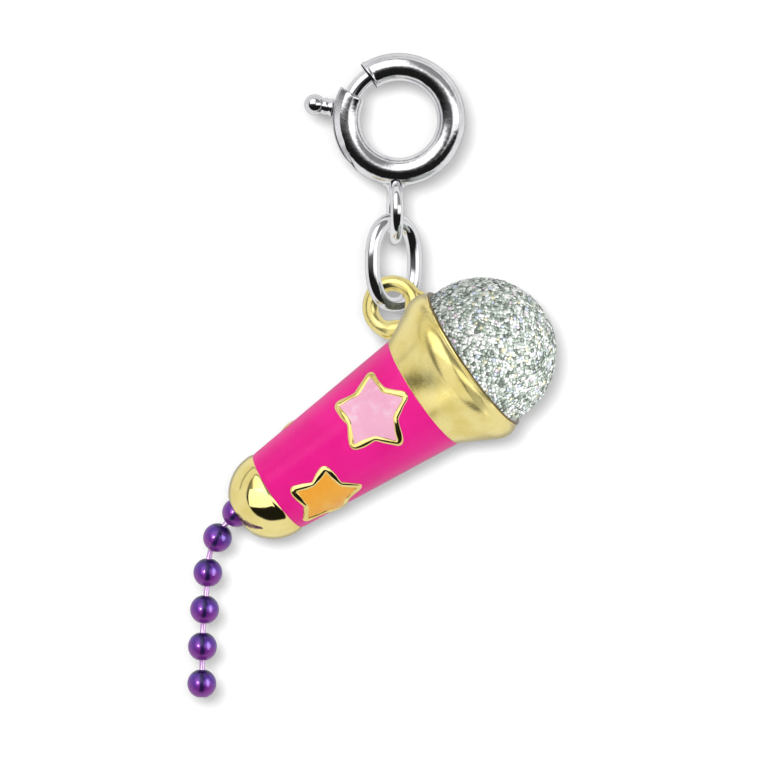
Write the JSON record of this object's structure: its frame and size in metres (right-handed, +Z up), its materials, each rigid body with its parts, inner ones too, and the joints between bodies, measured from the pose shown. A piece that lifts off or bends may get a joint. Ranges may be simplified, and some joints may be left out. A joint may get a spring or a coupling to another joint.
{
  "type": "toy microphone charm",
  "caption": "Small hanging microphone charm: gold casting with enamel barrel and stars, glitter ball head, beaded chain cable, on a sprung ring clasp.",
  "frame": {"origin": "centre of the clasp's opening, on the mid plane of the clasp ring", "axes": "+Z up along the hanging charm, -Y towards the face with the stars, +X to the right of that face; the clasp ring lies in the XZ plane, so Y is the axis of its opening"},
  "size_m": [0.0195, 0.0087, 0.034],
  "materials": {
    "clasp_plating": "bright rhodium-look plating on brass tube",
    "eyelet_plating": "bright plating on brass wire",
    "latch_plating": "bright plating",
    "trigger_plating": "bright plating",
    "spring_steel": "bare music wire",
    "jump_ring_plating": "bright plating on brass wire",
    "gold_plating": "pale gold plating on a zinc die casting, tumbled and bright",
    "pink_enamel": "glossy hot-pink enamel",
    "pale_pink_enamel": "glossy pale-pink enamel",
    "orange_enamel": "glossy orange enamel",
    "glitter_resin": "silver glitter set in clear resin, a grainy surface",
    "clear_adhesive": "clear epoxy, hidden behind the ball",
    "purple_bead": "metallic purple lacquer on a brass bead",
    "lilac_pin": "thin lilac lacquer on wire"
  },
  "bodies": {
    "clasp": {"clasp_tube": "clasp_plating", "clasp_eyelet": "eyelet_plating", "latch_spring": "spring_steel"},
    "latch": {"latch_arm": "latch_plating", "thumb_trigger": "trigger_plating"},
    "jump_ring": {"jump_ring": "jump_ring_plating"},
    "microphone": {"microphone_casting": "gold_plating", "barrel_enamel": "pink_enamel", "front_large_star_enamel": "pale_pink_enamel", "front_small_star_enamel": "orange_enamel", "back_large_star_enamel": "pale_pink_enamel", "back_small_star_enamel": "orange_enamel", "glitter_ball": "glitter_resin", "ball_adhesive": "clear_adhesive", "tail_bead": "purple_bead"},
    "pin_1": {"chain_pin_1": "lilac_pin"},
    "bead_1": {"chain_bead_1": "purple_bead"},
    "pin_2": {"chain_pin_2": "lilac_pin"},
    "bead_2": {"chain_bead_2": "purple_bead"},
    "pin_3": {"chain_pin_3": "lilac_pin"},
    "bead_3": {"chain_bead_3": "purple_bead"},
    "pin_4": {"chain_pin_4": "lilac_pin"},
    "bead_4": {"chain_bead_4": "purple_bead"},
    "pin_5": {"chain_pin_5": "lilac_pin"},
    "bead_5": {"chain_bead_5": "purple_bead"}
  },
  "joints": [
    {"name": "latch_slide_round", "type": "hinge", "parent": "clasp", "child": "latch", "pos_m": [0, 0, 0], "axis": [0, -1, 0], "range_deg": [0, 40], "stiffness_Nm_per_rad": 0.0001, "springref_deg": -20.05, "deforming": ["latch_spring"]},
    {"name": "jump_ring_swing", "type": "hinge", "parent": "clasp", "child": "jump_ring", "pos_m": [-0.0002, 0, -0.0063], "axis": [0, 1, 0], "range_deg": [-15, 15]},
    {"name": "microphone_swing", "type": "hinge", "parent": "jump_ring", "child": "microphone", "pos_m": [-0.00027, -0.00015, -0.00971], "axis": [0.7431, 0.6691, 0], "range_deg": [-15, 20]},
    {"name": "pin_1_rock", "type": "hinge", "parent": "microphone", "child": "pin_1", "pos_m": [-0.00903, 0.00162, -0.02121], "axis": [0, 1, 0], "range_deg": [-18, 18]},
    {"name": "bead_1_rock", "type": "hinge", "parent": "pin_1", "child": "bead_1", "pos_m": [-0.00924, 0.00168, -0.02144], "axis": [0.7314, 0, -0.682], "range_deg": [-18, 20]},
    {"name": "pin_2_rock", "type": "hinge", "parent": "bead_1", "child": "pin_2", "pos_m": [-0.00991, 0.00188, -0.02264], "axis": [0, 1, 0], "range_deg": [-11, 20]},
    {"name": "bead_2_rock", "type": "hinge", "parent": "pin_2", "child": "bead_2", "pos_m": [-0.01006, 0.00193, -0.02319], "axis": [0.9659, 0, -0.2588], "range_deg": [-18, 20]},
    {"name": "pin_3_rock", "type": "hinge", "parent": "bead_2", "child": "pin_3", "pos_m": [-0.01013, 0.00195, -0.02458], "axis": [0, 1, 0], "range_deg": [-20, 20]},
    {"name": "bead_3_rock", "type": "hinge", "parent": "pin_3", "child": "bead_3", "pos_m": [-0.01019, 0.00195, -0.02515], "axis": [0.9945, 0, -0.1045], "range_deg": [-20, 20]},
    {"name": "pin_4_rock", "type": "hinge", "parent": "bead_3", "child": "pin_4", "pos_m": [-0.01033, 0.00195, -0.02653], "axis": [0, 1, 0], "range_deg": [-20, 20]},
    {"name": "bead_4_rock", "type": "hinge", "parent": "pin_4", "child": "bead_4", "pos_m": [-0.01036, 0.00195, -0.0271], "axis": [0.9986, 0, -0.0523], "range_deg": [-20, 20]},
    {"name": "pin_5_rock", "type": "hinge", "parent": "bead_4", "child": "pin_5", "pos_m": [-0.01039, 0.00195, -0.02849], "axis": [0, 1, 0], "range_deg": [-20, 20]},
    {"name": "bead_5_rock", "type": "hinge", "parent": "pin_5", "child": "bead_5", "pos_m": [-0.0104, 0.00195, -0.02906], "axis": [0.9998, 0, -0.0175], "range_deg": [-20, 20]}
  ]
}
